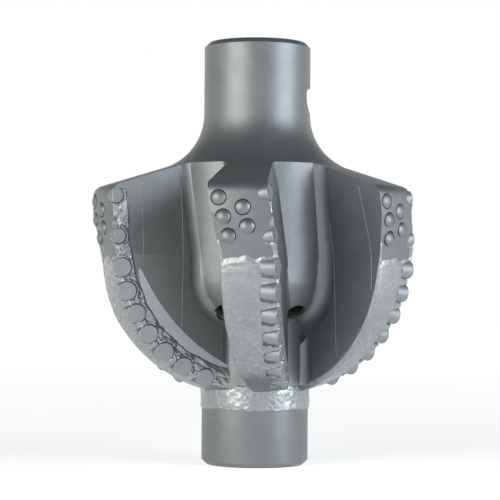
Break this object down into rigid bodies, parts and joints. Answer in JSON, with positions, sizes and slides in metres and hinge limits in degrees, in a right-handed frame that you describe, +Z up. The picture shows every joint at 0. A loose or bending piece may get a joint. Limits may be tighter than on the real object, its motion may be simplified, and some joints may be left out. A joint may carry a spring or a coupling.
{
  "type": "pdc reamer",
  "caption": "Pull-back hole opener with straight blades round a threaded steel shank, round diamond cutters along each blade, gauge buttons and jet nozzles between the blades.",
  "frame": {"origin": "centre of the lower shank's end face, where the tool stands", "axes": "+Z up along the tool's axis; blade 1 points along -Y with its cutters facing +X"},
  "size_m": [0.3428, 0.3606, 0.452],
  "materials": {
    "body_steel": "thin silver-grey paint over milled steel",
    "cutter": "ground carbide with a polished face, painted over",
    "button": "smooth domed carbide",
    "nozzle": "dark ground carbide",
    "seal": "black rubber",
    "hardfacing": "lumpy weld deposit under silver-grey paint"
  },
  "bodies": {
    "root": {"body": "body_steel", "neck_hardfacing": "hardfacing", "face_cutters_1": "cutter", "face_cutters_2": "cutter", "face_cutters_3": "cutter", "face_cutters_4": "cutter", "face_cutters_5": "cutter", "face_cutters_6": "cutter", "gauge_cutters_1": "cutter", "gauge_cutters_2": "cutter", "gauge_cutters_3": "cutter", "gauge_cutters_4": "cutter", "gauge_cutters_5": "cutter", "gauge_cutters_6": "cutter", "gauge_buttons_1": "button", "gauge_buttons_2": "button", "gauge_buttons_3": "button", "gauge_buttons_4": "button", "gauge_buttons_5": "button", "gauge_buttons_6": "button", "nozzle_1": "nozzle", "nozzle_2": "nozzle", "nozzle_3": "nozzle", "nozzle_4": "nozzle", "nozzle_5": "nozzle", "nozzle_6": "nozzle", "nozzle_seal_1": "seal", "nozzle_seal_2": "seal", "nozzle_seal_3": "seal", "nozzle_seal_4": "seal", "nozzle_seal_5": "seal", "nozzle_seal_6": "seal", "blade_hardfacing_1": "hardfacing", "blade_hardfacing_2": "hardfacing", "blade_hardfacing_3": "hardfacing", "blade_hardfacing_4": "hardfacing", "blade_hardfacing_5": "hardfacing", "blade_hardfacing_6": "hardfacing"}
  },
  "joints": []
}
